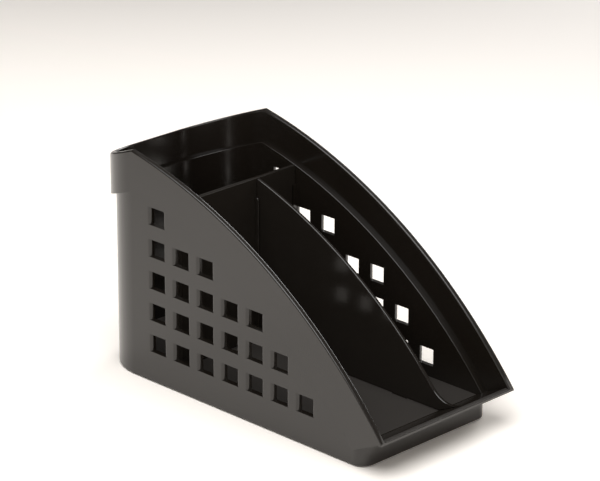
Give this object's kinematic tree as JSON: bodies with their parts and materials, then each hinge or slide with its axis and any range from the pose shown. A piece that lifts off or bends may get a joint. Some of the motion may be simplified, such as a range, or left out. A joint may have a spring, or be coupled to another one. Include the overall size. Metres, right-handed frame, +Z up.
{
  "type": "pen holder",
  "caption": "Desk pen holder with arched, perforated side walls, a stepped rim band, an open front lip and lift-out dividers that part a tall pen well from low trays.",
  "frame": {"origin": "on the table, under the middle of the part's length and width", "axes": "+Z up, +Y along the length to the tall rear, +X to the right seen from the open front"},
  "size_m": [0.082, 0.18, 0.106],
  "materials": {
    "shell_plastic": "fine-grained satin black outside, smoother inside",
    "divider_plastic": "satin black",
    "foot_rubber": "matt dark grey"
  },
  "bodies": {
    "shell": {"body": "shell_plastic", "foot_front_left": "foot_rubber", "foot_front_right": "foot_rubber", "foot_rear_left": "foot_rubber", "foot_rear_right": "foot_rubber"},
    "cross": {"cross_divider": "divider_plastic"},
    "lengthwise": {"lengthwise_divider": "divider_plastic"}
  },
  "joints": [
    {"name": "cross_lift", "type": "slide", "parent": "shell", "child": "cross", "axis": [0, 0, 1], "range_m": [0, 0.08]},
    {"name": "lengthwise_lift", "type": "slide", "parent": "shell", "child": "lengthwise", "axis": [0, 0, 1], "range_m": [0, 0.08]}
  ]
}
